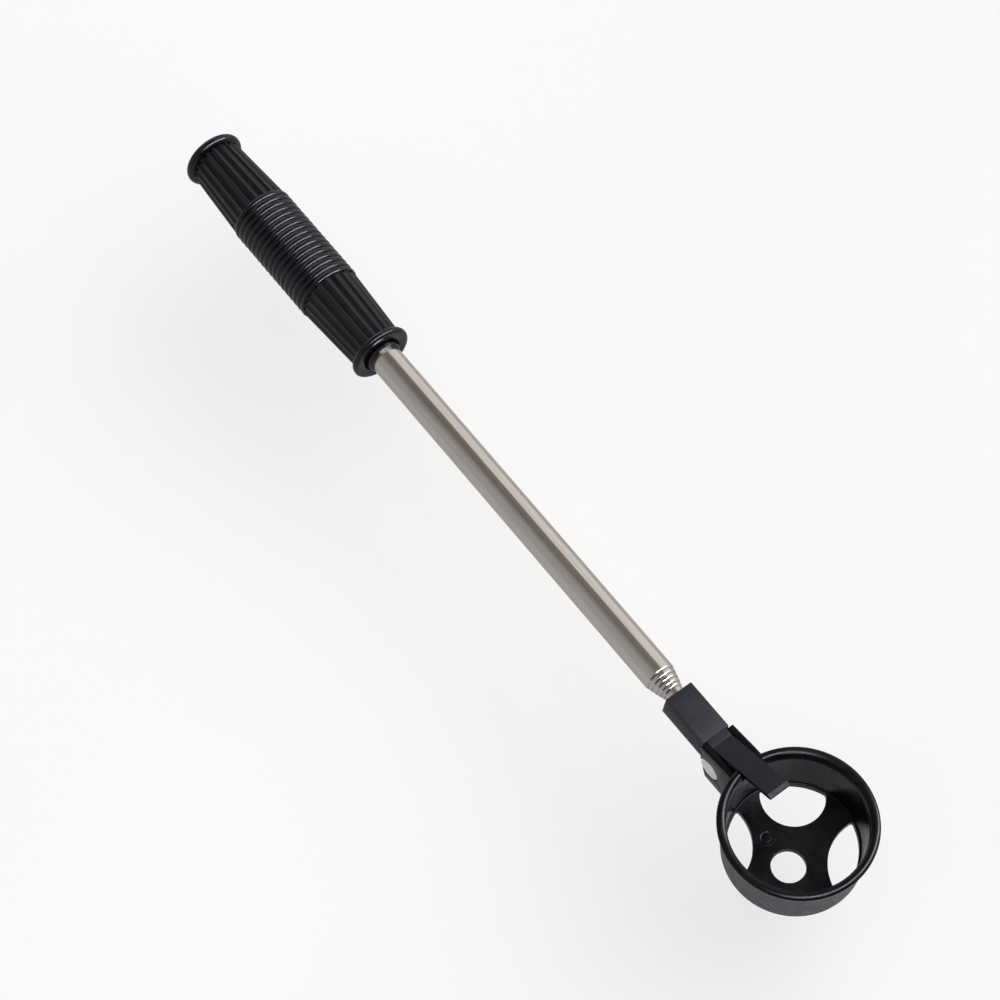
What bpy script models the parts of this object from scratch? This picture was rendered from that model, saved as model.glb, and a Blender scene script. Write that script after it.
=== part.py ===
"""Telescopic golf ball retriever, collapsed: a ribbed grip, six nested steel tubes and a sprung ball cup.

The shaft runs along X, from the butt at -X to the cup at +X. The cup opens upwards, and the retriever
lies on Z = 0, on the underside of its cup and on the fattest rings of its grip. The origin is under the
middle of its length. Dimensions are in millimetres and become metres where the meshes are made.
"""

import math

import bmesh
import bpy
from mathutils import Matrix, Vector

MM = 0.001
ROUND_STEPS = 28
GAP = 0.1

# Overall
LENGTH = 390.0
SHAFT_Z = 12.9

# Ball cup
RIM_R = 28.4
RIM_WIDEST_Z = 24.1
RIM_TOP_Z = 25.3
WALL_TOP_R = 26.1
WALL_FOOT_R = 25.4
CUP_MOUTH_R = 24.7
CUP_FLOOR_R = 23.9
CUP_FILLET = 0.5
FLOOR_THICK = 2.5
CUP_X = LENGTH / 2 - RIM_R
WINDOW_LIMIT_R = 23.3
WINDOWS = {  # name: (angle round the cup, distance of its circle's centre, radius of that circle)
    "window_round": (-51, 7.8, 6.3),
    "window_hinge_side": (140, 18.9, 11.8),
    "window_left": (39, 32.2, 19.3),
    "window_right": (-128, 33.2, 19.0),
}

# Steel tubes, outermost first
TUBE_COUNT = 6
TUBE_R = 6.25
TUBE_STEP = 0.5
TUBE_WALL = 0.3
TUBE_FRONT_X = CUP_X - 74.65
TUBE_FRONT_STEPS = (0, 2.0, 3.8, 5.5, 7.0)
TUBE_LIP = 0.8
TUBE_REAR_X = -177.0
INNER_REAR_X = -166.0
INNER_REAR_STEP = 7.0
BUSH_FLANGE = 1.9
BUSH_SPIGOT = 4.0

# Grip
BUTT_X = -LENGTH / 2
FLANGE_R = 12.5
FLANGE_REAR = 2.1
FRONT_FLANGE_X = -79.5
FRONT_FLANGE_EDGE = 1.3
BUTT_FLANGE_X = BUTT_X + 2.7
BUTT_FLANGE_EDGE = 1.9
NECK_R = 10.7
BARREL_R = SHAFT_Z
RING_PITCH = 2.775
RING_COUNT = 17
RING_DEPTH = 0.45
GRIP_BORE_R = 8.6
COLLAR_NOSE_R = 7.3
COLLAR_NOSE = 1.8
COLLAR_TAIL = 12.0
COLLAR_MOUTH_R = 7.9
COLLAR_MOUTH_DEPTH = 2.0
CAP_RECESS_R = 10.2
CAP_RECESS_DEPTH = 1.6
CAP_STEM = 8.0
FLUTE_COUNT = 21
FLUTE_WIDTH = 2.2
FLUTE_DEPTH = 0.5

# Head block, latch finger and hinge
HEAD_X = TUBE_FRONT_X + 9.3
HEAD_SLANT = 1.3
HEAD_HALF_H = 5.9
HEAD_HALF_W = 5.75
SHOULDER_X = HEAD_X + 21.2
TONGUE_HALF_W = 4.4
TONGUE_ROUND = 4.4
PIN_X = SHOULDER_X + 5.8
PIN_Z = SHAFT_Z - 4.6
PIN_R = 1.6
PIN_HEAD_R = 4.35
EAR_IN = 4.8
EAR_OUT = 7.2
COUNTERBORE_R = 4.7
COUNTERBORE_DEPTH = 0.9
FINGER_ROOT_X = SHOULDER_X + 1.1
FINGER_TIP_X = SHOULDER_X + 33.6
FINGER_SLOPE = math.radians(22.8)
FINGER_THICK = 2.2
FINGER_HALF_W = 4.3
FINGER_CHAMFER = 1.9
SOCKET_PIN_X = SHOULDER_X - 2.4
SOCKET_PIN_R = 1.45
SPRING_WIRE_R = 0.4
SPRING_R = 2.7
SPRING_TURNS = 3
SPRING_HALF_W = 1.5
SPRING_POCKET_HALF_W = 2.2

MATERIALS = {  # name: (colour, roughness, metallic)
    "grip_plastic": ((0.018, 0.018, 0.02), 0.42, 0.0),
    "collar_plastic": ((0.012, 0.012, 0.013), 0.18, 0.0),
    "nylon": ((0.55, 0.54, 0.5), 0.5, 0.0),
    "stainless": ((0.62, 0.6, 0.57), 0.28, 1.0),
    "head_plastic": ((0.045, 0.047, 0.055), 0.55, 0.0),
    "rivet_steel": ((0.68, 0.68, 0.68), 0.35, 1.0),
    "spring_steel": ((0.45, 0.44, 0.42), 0.3, 1.0),
}


def clear_scene():
    for obj in list(bpy.data.objects):
        bpy.data.objects.remove(obj, do_unlink=True)


def new_collection(name):
    made = bpy.data.collections.new(name)
    bpy.context.scene.collection.children.link(made)
    return made


def make_material(name):
    colour, roughness, metallic = MATERIALS[name]
    made = bpy.data.materials.new(name)
    made.use_nodes = True
    shader = made.node_tree.nodes["Principled BSDF"]
    shader.inputs["Base Color"].default_value = (*colour, 1)
    shader.inputs["Roughness"].default_value = roughness
    shader.inputs["Metallic"].default_value = metallic
    return made


def add_object(name, mesh, material=None):
    """A sub-part when it has a material, and otherwise a cutter that isn't part of the model."""
    obj = bpy.data.objects.new(name, mesh)
    if material:
        mesh.materials.append(finishes[material])
        parts.objects.link(obj)
    else:
        obj.hide_render = True
        obj.display_type = "WIRE"
        cutters.objects.link(obj)
    return obj


def turned(name, profile, place, tilt, material=None, closed=True, steps=ROUND_STEPS):
    """A Screw round the object's own Z of (radius, height) points, which run down the outer side."""
    mesh = bpy.data.meshes.new(name)
    points = [(r * MM, 0, h * MM) for r, h in profile]
    edges = [(i, i + 1) for i in range(len(points) - 1)]
    if closed:
        edges.append((len(points) - 1, 0))
    mesh.from_pydata(points, edges, [])
    obj = add_object(name, mesh, material)
    obj.location = Vector(place) * MM
    obj.rotation_euler = tilt
    screw = obj.modifiers.new("turn", "SCREW")
    screw.steps = screw.render_steps = steps
    screw.use_merge_vertices = True
    screw.merge_threshold = 0.00001
    screw.use_smooth_shade = True
    return obj


ALONG_X = (0, math.pi / 2, 0)
UPRIGHT = (0, 0, 0)
TOWARDS_MINUS_Y = (math.pi / 2, 0, 0)


def on_shaft(name, profile, material=None, closed=True, steps=ROUND_STEPS):
    """A piece turned about the shaft, whose profile is (radius, X) from its front end backwards."""
    return turned(name, profile, (0, 0, SHAFT_Z), ALONG_X, material, closed, steps)


def across(name, profile, x, z, material=None, steps=ROUND_STEPS):
    """A piece turned about a line along Y, whose profile is (radius, -Y) and touches that line at both ends."""
    return turned(name, profile, (x, 0, z), TOWARDS_MINUS_Y, material, False, steps)


def plate(name, outline, y_low, y_high, material=None):
    """An outline of (X, Z) points, extruded along Y."""
    curve = bpy.data.curves.new(name, "CURVE")
    curve.dimensions = "2D"
    curve.fill_mode = "BOTH"
    curve.extrude = (y_high - y_low) / 2 * MM
    spline = curve.splines.new("POLY")
    spline.points.add(len(outline) - 1)
    for point, (x, z) in zip(spline.points, outline):
        point.co = (x * MM, z * MM, 0, 1)
    spline.use_cyclic_u = True
    flat = bpy.data.objects.new(name + "_outline", curve)
    bpy.context.scene.collection.objects.link(flat)
    flat.rotation_euler = (math.pi / 2, 0, 0)
    flat.location = (0, (y_low + y_high) / 2 * MM, 0)
    return as_mesh(name, flat, material)


def as_mesh(name, source, material):
    """The closed mesh of a curve object, at the same place, with its caps welded on."""
    bpy.context.view_layer.update()
    graph = bpy.context.evaluated_depsgraph_get()
    mesh = bpy.data.meshes.new_from_object(source.evaluated_get(graph))
    work = bmesh.new()
    work.from_mesh(mesh)
    bmesh.ops.remove_doubles(work, verts=work.verts, dist=0.000001)
    bmesh.ops.recalc_face_normals(work, faces=work.faces)
    work.to_mesh(mesh)
    work.free()
    mesh.materials.clear()
    obj = add_object(name, mesh, material)
    obj.matrix_world = source.matrix_world.copy()
    bpy.data.objects.remove(source, do_unlink=True)
    return obj


def box(name, low, high, material=None):
    size = Vector(high) - Vector(low)
    centre = (Vector(high) + Vector(low)) / 2
    work = bmesh.new()
    bmesh.ops.create_cube(work, size=1, matrix=Matrix.Diagonal((*(size * MM), 1)))
    mesh = bpy.data.meshes.new(name)
    work.to_mesh(mesh)
    work.free()
    obj = add_object(name, mesh, material)
    obj.location = centre * MM
    return obj


def boolean(obj, other, operation):
    modifier = obj.modifiers.new(other.name, "BOOLEAN")
    modifier.operation = operation
    modifier.object = other
    modifier.solver = "EXACT"


def cut(obj, *others):
    for other in others:
        boolean(obj, other, "DIFFERENCE")


def join(obj, *others):
    for other in others:
        boolean(obj, other, "UNION")


def arc(centre, radius, start, end, steps):
    """Points of a circular arc, with its angles in degrees."""
    angles = [math.radians(start + (end - start) * i / steps) for i in range(steps + 1)]
    return [(centre[0] + radius * math.cos(a), centre[1] + radius * math.sin(a)) for a in angles]


# --- Grip -------------------------------------------------------------------------------------------


def ring_profile():
    """(radius, X) over the crests of the rings round the grip's middle, from the front one backwards."""
    middle = (FRONT_FLANGE_X + BUTT_FLANGE_X) / 2
    front = middle + (RING_COUNT - 1) * RING_PITCH / 2
    points = [(BARREL_R, front)]
    for ring in range(1, RING_COUNT):
        points.append((BARREL_R - RING_DEPTH, front - (ring - 0.5) * RING_PITCH))
        points.append((BARREL_R, front - ring * RING_PITCH))
    return points


def flange_profile(x, outward, edge):
    """(radius, X) over a flange, from its outer face, round its edge and down to the neck."""
    outer = arc((0, 0), 1, 0, 90, 4)
    points = [(FLANGE_R - edge + edge * b, x + outward * edge * a) for a, b in outer]
    fall = FLANGE_R - NECK_R
    points += [(NECK_R + fall * a, x - outward * FLANGE_REAR * b) for a, b in outer[1:]]
    return points


def flute_cutter(name, x_narrow, x_wide):
    """One bar for each flute, laid along the cone between the neck and the barrel."""
    length = abs(x_wide - x_narrow)
    rise = BARREL_R - NECK_R
    lean = math.atan2(rise, length) * (1 if x_wide > x_narrow else -1)
    middle_r = (BARREL_R + NECK_R) / 2
    bar = Matrix.Diagonal((length * 0.86 * MM, FLUTE_WIDTH * MM, 2 * FLUTE_DEPTH * MM, 1))
    lift = Matrix.Translation((0, 0, middle_r * MM)) @ Matrix.Rotation(-lean, 4, "Y")
    work = bmesh.new()
    for flute in range(FLUTE_COUNT):
        turn = Matrix.Rotation(2 * math.pi * (flute + 0.5) / FLUTE_COUNT, 4, "X")
        bmesh.ops.create_cube(work, size=1, matrix=turn @ lift @ bar)
    mesh = bpy.data.meshes.new(name)
    work.to_mesh(mesh)
    work.free()
    obj = add_object(name, mesh)
    obj.location = Vector(((x_narrow + x_wide) / 2, 0, SHAFT_Z)) * MM
    return obj


def make_grip():
    rings = ring_profile()
    front_face = FRONT_FLANGE_X + FRONT_FLANGE_EDGE
    butt_face = BUTT_FLANGE_X - BUTT_FLANGE_EDGE
    neck_front = FRONT_FLANGE_X - FLANGE_REAR - 1.5
    neck_rear = BUTT_FLANGE_X + FLANGE_REAR + 1.5
    outer = flange_profile(FRONT_FLANGE_X, 1, FRONT_FLANGE_EDGE) + [(NECK_R, neck_front)]
    outer += rings + [(NECK_R, neck_rear)]
    outer += flange_profile(BUTT_FLANGE_X, -1, BUTT_FLANGE_EDGE)[::-1]
    cap_seat = butt_face + CAP_RECESS_DEPTH
    mouth = front_face - COLLAR_MOUTH_DEPTH
    inner = [(CAP_RECESS_R, butt_face), (CAP_RECESS_R, cap_seat), (GRIP_BORE_R, cap_seat)]
    inner += [(GRIP_BORE_R, mouth), (COLLAR_MOUTH_R, mouth), (COLLAR_MOUTH_R, front_face)]
    grip = on_shaft("grip", outer + inner, "grip_plastic")
    cut(grip, flute_cutter("front_flutes", neck_front, rings[0][1]))
    cut(grip, flute_cutter("butt_flutes", neck_rear, rings[-1][1]))
    return grip


def make_end_cap():
    face = BUTT_FLANGE_X - BUTT_FLANGE_EDGE + CAP_RECESS_DEPTH - GAP
    rim_r = CAP_RECESS_R - GAP
    stem_r = GRIP_BORE_R - GAP
    stem_end = face + CAP_STEM
    profile = [(0, stem_end), (stem_r, stem_end), (stem_r, face), (rim_r, face)]
    profile += [(rim_r, BUTT_X + 0.9), (rim_r - 1.2, BUTT_X + 0.2), (0, BUTT_X)]
    return on_shaft("end_cap", profile, "grip_plastic", closed=False)


def make_front_collar():
    """A split ring behind the grip's front lip, whose nose stands out round the shaft."""
    face = FRONT_FLANGE_X + FRONT_FLANGE_EDGE
    shoulder = face - COLLAR_MOUTH_DEPTH - GAP
    tip = face + COLLAR_NOSE
    tail = face - COLLAR_TAIL
    tail_r = GRIP_BORE_R - GAP
    bore = TUBE_R + GAP
    profile = [(COLLAR_NOSE_R, tip), (COLLAR_NOSE_R, shoulder), (tail_r, shoulder)]
    profile += [(tail_r, tail), (bore, tail), (bore, tip)]
    return on_shaft("front_collar", profile, "collar_plastic")


def make_rear_bush():
    front = TUBE_REAR_X + 15
    profile = [(GRIP_BORE_R - GAP, front), (GRIP_BORE_R - GAP, front - 10)]
    profile += [(TUBE_R + GAP, front - 10), (TUBE_R + GAP, front)]
    return on_shaft("rear_bush", profile, "nylon")


# --- Tubes ------------------------------------------------------------------------------------------


def tube_radius(number):
    return TUBE_R - TUBE_STEP * (number - 1)


def tube_rear(number):
    return TUBE_REAR_X if number == 1 else INNER_REAR_X + INNER_REAR_STEP * (number - 2)


def make_tube(number):
    """A steel tube, whose front end is rolled in round the next one. The last one ends in the head block."""
    radius = tube_radius(number)
    bore = radius - TUBE_WALL
    rear = tube_rear(number)
    if number < TUBE_COUNT:
        front = TUBE_FRONT_X + TUBE_FRONT_STEPS[number - 1]
        lip = radius - 0.2
    else:
        front = SHOULDER_X - 0.3
        lip = radius
    profile = [(lip, front), (radius, front - TUBE_LIP), (radius, rear), (bore, rear), (bore, front)]
    return on_shaft(f"tube_{number}", profile, "stainless")


def make_plug(name, number):
    """A nylon bush pushed into a tube's rear end. Its flange runs in the tube outside that one."""
    rear = tube_rear(number)
    flange_r = tube_radius(number) + (0 if number == 1 else GAP)
    spigot_r = tube_radius(number) - TUBE_WALL - GAP
    profile = [(0, rear + BUSH_SPIGOT), (spigot_r, rear + BUSH_SPIGOT), (spigot_r, rear - GAP)]
    profile += [(flange_r, rear - GAP), (flange_r, rear - BUSH_FLANGE), (0, rear - BUSH_FLANGE)]
    return on_shaft(name, profile, "nylon", closed=False)


# --- Head block, finger and hinge -------------------------------------------------------------------


def finger_outline():
    """(X, Z) round the latch finger, which climbs over the cup's mouth and ends in a flat chamfer."""
    top = SHAFT_Z + HEAD_HALF_H
    climb = math.tan(FINGER_SLOPE)
    drop = FINGER_THICK / math.cos(FINGER_SLOPE)
    chamfer_x = FINGER_TIP_X - FINGER_CHAMFER
    tip_z = top + climb * (chamfer_x - FINGER_ROOT_X)
    under_root = FINGER_ROOT_X - 1.5
    return [
        (FINGER_ROOT_X, top),
        (under_root, top - 1),
        (under_root, top - drop - 0.6),
        (FINGER_ROOT_X, top - drop),
        (FINGER_TIP_X - 0.5, tip_z + climb * (FINGER_CHAMFER - 0.5) - drop),
        (FINGER_TIP_X, tip_z - 0.6),
        (FINGER_TIP_X - 0.2, tip_z + 0.1),
        (chamfer_x, tip_z),
    ]


def make_head():
    """The moulding on the end of the shaft: square block, hinge tongue and latch finger."""
    low = SHAFT_Z - HEAD_HALF_H
    top = SHAFT_Z + HEAD_HALF_H
    block = [(HEAD_X, top), (SHOULDER_X, top), (SHOULDER_X, low), (HEAD_X - HEAD_SLANT, low)]
    nose = PIN_X + TONGUE_ROUND
    tongue = [(SHOULDER_X - 1.5, top - 0.2), (nose - 2.2, top - 0.2), (nose, top - 2.4)]
    tongue += arc((PIN_X, PIN_Z), TONGUE_ROUND, 0, -120, 8)
    tongue += [(SHOULDER_X - 1.5, low + 0.2)]
    head = plate("head_block", block, -HEAD_HALF_W, HEAD_HALF_W, "head_plastic")
    join(head, plate("tongue", tongue, -TONGUE_HALF_W, TONGUE_HALF_W))
    join(head, plate("finger", finger_outline(), -FINGER_HALF_W, FINGER_HALF_W))
    socket_r = tube_radius(TUBE_COUNT) + GAP
    socket = [(0, SHOULDER_X), (socket_r, SHOULDER_X), (socket_r, HEAD_X - 5), (0, HEAD_X - 5)]
    pocket_low = (PIN_X - 4.3, -SPRING_POCKET_HALF_W, PIN_Z - 6)
    pocket_high = (PIN_X + 6, SPRING_POCKET_HALF_W, PIN_Z + SPRING_R + SPRING_WIRE_R + 0.3)
    cut(head, on_shaft("tube_socket", socket, closed=False))
    cut(head, box("spring_pocket", pocket_low, pocket_high))
    cut(head, rod_along_y("tongue_bore", PIN_R + GAP, 12, PIN_X, PIN_Z))
    cut(head, rod_along_y("socket_pin_bore", SOCKET_PIN_R + GAP, 12, SOCKET_PIN_X, SHAFT_Z))
    return head


def rod_along_y(name, radius, half, x, z, material=None, steps=16):
    profile = [(0, half), (radius, half), (radius, -half), (0, -half)]
    return across(name, profile, x, z, material, steps)


def make_hinge_pin():
    """A rivet whose domed head sits in the ear on the -Y side. The other end holds the clip."""
    seat = EAR_OUT - COUNTERBORE_DEPTH + GAP
    dome = [(0, seat + 1.3), (1.6, seat + 1.25), (3.0, seat + 1.0), (PIN_HEAD_R - 0.3, seat + 0.6)]
    profile = dome + [(PIN_HEAD_R, seat + 0.3), (PIN_HEAD_R, seat), (PIN_R, seat)]
    profile += [(PIN_R, -EAR_OUT - 0.1), (0, -EAR_OUT - 0.1)]
    return across("hinge_pin", profile, PIN_X, PIN_Z, "rivet_steel", 24)


def make_pin_clip():
    """A push-on clip, dished outwards, round the end of the hinge pin on the +Y side."""
    seat = EAR_OUT - COUNTERBORE_DEPTH + GAP
    profile = [(4.1, -seat), (4.1, -seat - 0.35), (PIN_R + GAP, -seat - 0.7), (PIN_R + GAP, -seat)]
    return turned("pin_clip", profile, (PIN_X, 0, PIN_Z), TOWARDS_MINUS_Y, "rivet_steel", steps=24)


def make_torsion_spring():
    """Coils round the hinge pin. One leg bears on the head block, and the other lifts the cup."""
    top = PIN_Z + SPRING_R
    steps = 14
    route = [(PIN_X - 3.6, -SPRING_HALF_W, top)]
    for i in range(SPRING_TURNS * steps + 1):
        angle = 2 * math.pi * i / steps
        y = SPRING_HALF_W * (2 * i / (SPRING_TURNS * steps) - 1)
        route.append((PIN_X + SPRING_R * math.sin(angle), y, PIN_Z + SPRING_R * math.cos(angle)))
    route.append((PIN_X + 11.8, SPRING_HALF_W, top))
    curve = bpy.data.curves.new("torsion_spring", "CURVE")
    curve.dimensions = "3D"
    curve.bevel_depth = SPRING_WIRE_R * MM
    curve.bevel_resolution = 1
    curve.use_fill_caps = True
    spline = curve.splines.new("POLY")
    spline.points.add(len(route) - 1)
    for point, place in zip(spline.points, route):
        point.co = (*(Vector(place) * MM), 1)
    wire = bpy.data.objects.new("torsion_spring_route", curve)
    bpy.context.scene.collection.objects.link(wire)
    return as_mesh("torsion_spring", wire, "spring_steel")


# --- Cup --------------------------------------------------------------------------------------------


def cup_profile():
    """(radius, height) from the middle of the floor, up the inside, over the rim and down the outside."""
    floor = [(0, FLOOR_THICK), (CUP_FLOOR_R - CUP_FILLET, FLOOR_THICK)]
    floor.append((CUP_FLOOR_R, FLOOR_THICK + CUP_FILLET))
    lip_r = RIM_R - CUP_MOUTH_R
    rim = [
        (CUP_MOUTH_R, RIM_WIDEST_Z - 0.4),
        (CUP_MOUTH_R + 0.2 * lip_r, RIM_TOP_Z - 0.4),
        (CUP_MOUTH_R + 0.5 * lip_r, RIM_TOP_Z),
        (CUP_MOUTH_R + 0.8 * lip_r, RIM_TOP_Z - 0.3),
        (RIM_R, RIM_WIDEST_Z),
        (RIM_R - 0.5, RIM_WIDEST_Z - 1.8),
    ]
    foot = [(WALL_TOP_R, RIM_WIDEST_Z - 3.2), (WALL_FOOT_R, 1.3), (WALL_FOOT_R - 0.4, 0.4)]
    return floor + rim + foot + [(WALL_FOOT_R - 1.3, 0), (0, 0)]


def ear_outline():
    """(X, Z) of the hinge ears, whose sloping rear edge leaves room for the cup to swing down."""
    rear = SHOULDER_X + 0.4
    wall = CUP_X - CUP_FLOOR_R + 0.1
    return [
        (rear, SHAFT_Z + 5.6),
        (rear + 0.5, PIN_Z + 1.6),
        (rear + 3.8, 0),
        (wall, 0),
        (wall, SHAFT_Z + 8.6),
        (rear + 12.3, SHAFT_Z + 7.9),
    ]


def window_cutter(name):
    angle, distance, radius = WINDOWS[name]
    x = CUP_X + distance * math.cos(math.radians(angle))
    y = distance * math.sin(math.radians(angle))
    profile = [(0, 6), (radius, 6), (radius, -4), (0, -4)]
    window = turned(name, profile, (x, y, 0), UPRIGHT, closed=False, steps=40)
    if distance + radius > WINDOW_LIMIT_R:
        limit = [(0, 8), (WINDOW_LIMIT_R, 8), (WINDOW_LIMIT_R, -8), (0, -8)]
        edge = turned(name + "_limit", limit, (CUP_X, 0, 0), UPRIGHT, closed=False, steps=56)
        boolean(window, edge, "INTERSECT")
    return window


def make_cup():
    cup = turned("cup", cup_profile(), (CUP_X, 0, 0), UPRIGHT, "head_plastic", False, 56)
    ledge_low = (PIN_X + 9.7, -EAR_IN - 0.5, PIN_Z + SPRING_R + SPRING_WIRE_R + 0.4)
    ledge_high = (CUP_X - WALL_FOOT_R + 1.4, EAR_IN + 0.5, ledge_low[2] + 2.3)
    join(cup, plate("left_ear", ear_outline(), EAR_IN, EAR_OUT))
    join(cup, plate("right_ear", ear_outline(), -EAR_OUT, -EAR_IN))
    join(cup, box("spring_ledge", ledge_low, ledge_high))
    finger_notch_low = (CUP_X - RIM_R - 2, -5.0, SHAFT_Z + 8.2)
    finger_notch_high = (CUP_X - CUP_FLOOR_R + 2, 5.0, RIM_TOP_Z + 5)
    cut(cup, box("finger_notch", finger_notch_low, finger_notch_high))
    cut(cup, rod_along_y("ear_bore", PIN_R + GAP, 12, PIN_X, PIN_Z))
    seat = EAR_OUT - COUNTERBORE_DEPTH
    for name, low, high in (("left_counterbore", -seat - 4, -seat), ("right_counterbore", seat, seat + 4)):
        profile = [(0, high), (COUNTERBORE_R, high), (COUNTERBORE_R, low), (0, low)]
        cut(cup, across(name, profile, PIN_X, PIN_Z))
    for name in WINDOWS:
        cut(cup, window_cutter(name))
    return cup


# --- Assembly ---------------------------------------------------------------------------------------


def joint_empty(name, x, z, parent=None):
    """An empty on a joint's axis, which carries the pieces that the joint moves."""
    empty = bpy.data.objects.new(name, None)
    empty.empty_display_size = 10 * MM
    parts.objects.link(empty)
    empty.location = Vector((x, 0, z)) * MM
    if parent:
        carry(parent, [empty])
    return empty


def carry(parent, children):
    """Parents the pieces to an empty that has no rotation, without moving them."""
    for child in children:
        child.parent = parent
        child.matrix_parent_inverse = Matrix.Translation(-parent.location)


def smooth(obj):
    if obj.data.polygons:
        obj.data.shade_smooth()
        obj.data.set_sharp_from_angle(angle=math.radians(35))


def build():
    make_grip()
    make_end_cap()
    make_front_collar()
    make_rear_bush()
    make_tube(1)
    make_plug("tube_stop_plug", 1)
    section = None
    for number in range(2, TUBE_COUNT + 1):
        pieces = [make_tube(number), make_plug(f"slide_bush_{number}", number)]
        section = joint_empty(f"section_{number}", tube_rear(number), SHAFT_Z, section)
        carry(section, pieces)
    head = make_head()
    socket_pin = rod_along_y("socket_pin", SOCKET_PIN_R, 4.8, SOCKET_PIN_X, SHAFT_Z, "rivet_steel")
    last_tube = bpy.data.objects[f"tube_{TUBE_COUNT}"]
    cut(last_tube, rod_along_y("tube_cross_hole", SOCKET_PIN_R + GAP, 12, SOCKET_PIN_X, SHAFT_Z))
    spring = make_torsion_spring()
    carry(section, [head, socket_pin, spring])
    hinge = joint_empty("cup_hinge", PIN_X, PIN_Z, section)
    carry(hinge, [make_cup(), make_hinge_pin(), make_pin_clip()])
    for obj in parts.objects:
        if obj.type == "MESH":
            smooth(obj)


clear_scene()
parts = new_collection("golf_ball_retriever")
cutters = new_collection("cutters")
finishes = {name: make_material(name) for name in MATERIALS}
build()
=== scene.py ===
"""The looks of a telescopic golf ball retriever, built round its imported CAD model.

The shaft runs along X at the height of SHAFT_Z, with the butt at -X and the ball cup at +X. The scene's
places and main sizes come from the CAD nodes' boxes. The object's lengths are in millimetres, and MM turns
them into the metres that Blender, the frame, the camera and the lights use.
"""

import math

import bmesh
import bpy
from mathutils import Matrix, Vector


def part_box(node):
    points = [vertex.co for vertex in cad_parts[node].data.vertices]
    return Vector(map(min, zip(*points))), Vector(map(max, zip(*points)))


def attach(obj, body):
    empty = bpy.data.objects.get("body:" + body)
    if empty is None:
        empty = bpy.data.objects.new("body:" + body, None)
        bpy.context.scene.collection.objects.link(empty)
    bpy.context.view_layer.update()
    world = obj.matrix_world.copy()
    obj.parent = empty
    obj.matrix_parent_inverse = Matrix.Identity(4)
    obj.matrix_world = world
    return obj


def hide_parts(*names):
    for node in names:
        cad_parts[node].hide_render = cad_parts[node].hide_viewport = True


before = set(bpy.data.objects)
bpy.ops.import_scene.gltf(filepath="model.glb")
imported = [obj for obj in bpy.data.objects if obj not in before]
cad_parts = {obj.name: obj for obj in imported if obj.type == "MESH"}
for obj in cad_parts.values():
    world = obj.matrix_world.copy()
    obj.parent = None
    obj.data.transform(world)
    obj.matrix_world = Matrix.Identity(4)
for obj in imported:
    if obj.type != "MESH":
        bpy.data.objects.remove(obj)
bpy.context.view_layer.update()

MM = 0.001


def box_mm(node):
    """The lowest and highest corners of a CAD node, in millimetres."""
    low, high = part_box(node)
    return low / MM, high / MM


# --- Sizes in millimetres, the main ones from the CAD nodes -------------------------------------------

TUBE_NAMES = [f"tube_{number}" for number in range(1, 7)]
TUBE_BODIES = ["handle", *(f"section_{number}" for number in range(2, 6)), "head"]
TUBE_ENDS = [(box_mm(name)[0].x, box_mm(name)[1].x) for name in TUBE_NAMES]
TUBE_RADII = [(box_mm(name)[1].y - box_mm(name)[0].y) / 2 for name in TUBE_NAMES]
SHAFT_Z = (box_mm("tube_1")[0].z + box_mm("tube_1")[1].z) / 2
TUBE_WALL = 0.32
LAST_TUBE_WALL = 0.3
LIP_DEPTH = 0.45
LIP_LENGTH = 0.95

GRIP_LOW, GRIP_HIGH = box_mm("grip")
BARREL_R = (GRIP_HIGH.y - GRIP_LOW.y) / 2
FLANGE_R = BARREL_R - 0.4
FRONT_FLANGE_EDGE = 1.3
BUTT_FLANGE_EDGE = 1.9
FLANGE_REAR = 2.1
NECK_R = 10.7
RECESS_DEPTH = 2.0
RING_PITCH = 2.775
RING_COUNT = 17
RING_DEPTH = 0.75
RIB_COUNT = 21
RIB_DEPTH = 0.65
RIB_WIDTH = 0.4  # as a share of half a rib's pitch
RIB_PHASE = 10.2
RIB_STEPS = 10

COLLAR_TIP = box_mm("front_collar")[1].x
COLLAR_R = 7.3
COLLAR_SEAT = 2.6
CAP_LOW, CAP_HIGH = box_mm("end_cap")
CAP_R = (CAP_HIGH.y - CAP_LOW.y) / 2
CAP_RIM_DEPTH = 2.4

CUP_HIGH = box_mm("cup")[1]
RIM_R = CUP_HIGH.y
CUP_X = CUP_HIGH.x - RIM_R
RIM_TOP = CUP_HIGH.z
WALL_FOOT_R = 25.4
CUP_FLOOR_R = 23.9
FLOOR_THICK = 2.5
WINDOW_LIMIT_R = 23.25
WINDOW_TRIM = 0.965  # how much of a lens's arcs is left where its corners are cut off
WINDOWS = {  # name: (angle round the cup, distance of its circle's centre, radius of that circle)
    "round": (-51, 7.8, 6.3),
    "hinge_side": (140, 18.9, 11.8),
    "left": (39, 32.2, 19.5),
    "right": (-128, 33.2, 19.2),
}
GATE_X = CUP_X - 7.5
GATE_Y = -5.4
NOTCH_HALF_W = 5.0
NOTCH_FLOOR = SHAFT_Z + 8.2

PIN_LOW, PIN_HIGH = box_mm("hinge_pin")
PIN_X = (PIN_LOW.x + PIN_HIGH.x) / 2
PIN_Z = (PIN_LOW.z + PIN_HIGH.z) / 2
PIN_R = 1.6
PIN_HEAD_R = (PIN_HIGH.x - PIN_LOW.x) / 2
EAR_IN = 4.8
EAR_OUT = 7.2
EAR_END_R = 24.15
EAR_RECESS_R = PIN_HEAD_R + 0.35
EAR_RECESS_DEPTH = 0.9

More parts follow.
